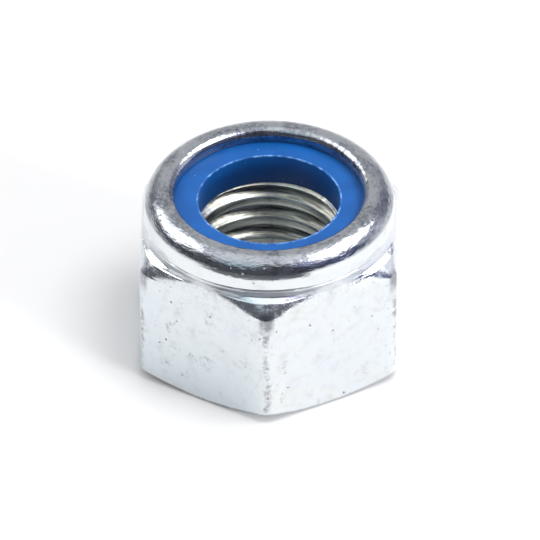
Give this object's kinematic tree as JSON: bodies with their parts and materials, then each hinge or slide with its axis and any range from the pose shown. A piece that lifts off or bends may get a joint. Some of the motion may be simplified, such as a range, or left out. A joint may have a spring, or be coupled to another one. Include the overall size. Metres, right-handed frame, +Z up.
{
  "type": "nylon insert lock nut",
  "caption": "Hexagon steel lock nut whose collar is rolled in over a blue nylon ring, which grips the screw's thread so that the nut doesn't shake loose.",
  "frame": {"origin": "centre of the bearing face, on the thread axis", "axes": "+Z runs up the thread axis from the bearing face to the rolled rim; two of the flats face +X and -X, and a corner points to -Y"},
  "size_m": [0.0128, 0.0146, 0.0092],
  "materials": {
    "zinc_plated_steel": "bright zinc plate over forged steel",
    "blue_nylon": "satin moulded nylon"
  },
  "bodies": {
    "root": {"nut_body": "zinc_plated_steel", "nylon_insert": "blue_nylon"}
  },
  "joints": []
}
